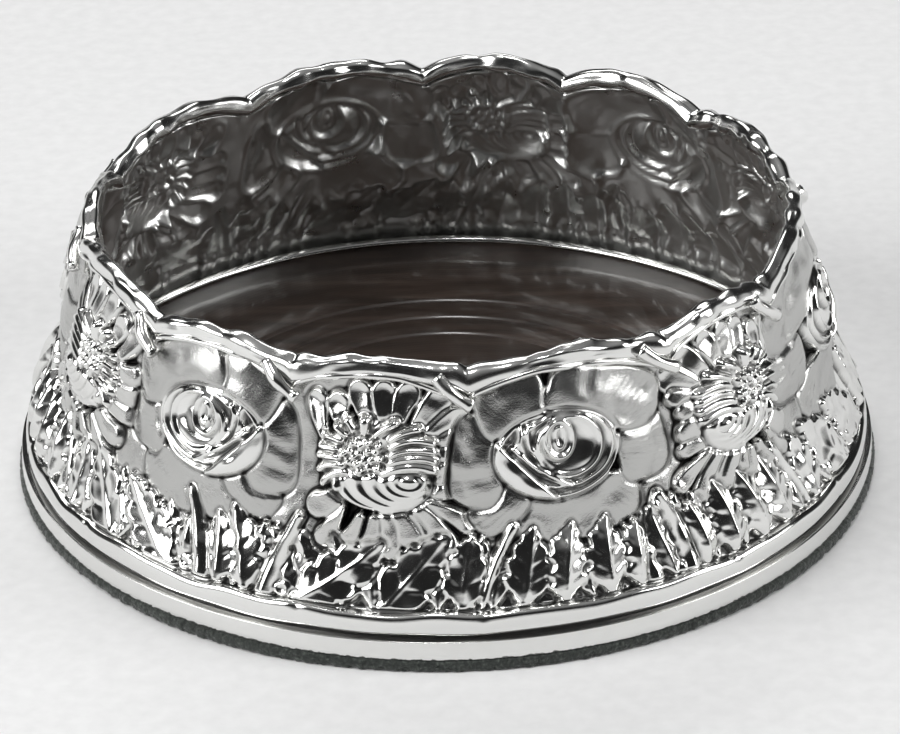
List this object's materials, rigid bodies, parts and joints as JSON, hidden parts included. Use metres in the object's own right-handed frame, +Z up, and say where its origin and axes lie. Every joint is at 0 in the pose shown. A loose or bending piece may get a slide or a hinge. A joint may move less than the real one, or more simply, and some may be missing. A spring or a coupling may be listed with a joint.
{
  "type": "wine bottle coaster",
  "caption": "Round silver wine bottle coaster: flared wall chased with roses, asters and leaves under a scalloped twig rim, on a turned wooden floor with a felt base.",
  "frame": {"origin": "middle of the felt's underside, where the coaster rests on a table", "axes": "+Z up along the coaster's axis, front of the coaster at -Y"},
  "size_m": [0.152, 0.152, 0.05],
  "materials": {
    "silver": "polished, darkened in the recesses",
    "floor_wood": "french polished",
    "pin_brass": "plain drawn",
    "base_felt": "napped"
  },
  "bodies": {
    "root": {"gallery_wall": "silver", "branch_rim": "silver", "foot_band": "silver", "bezel_ring": "silver", "wood_base": "floor_wood", "base_pins": "pin_brass", "felt_pad": "base_felt"}
  },
  "joints": []
}
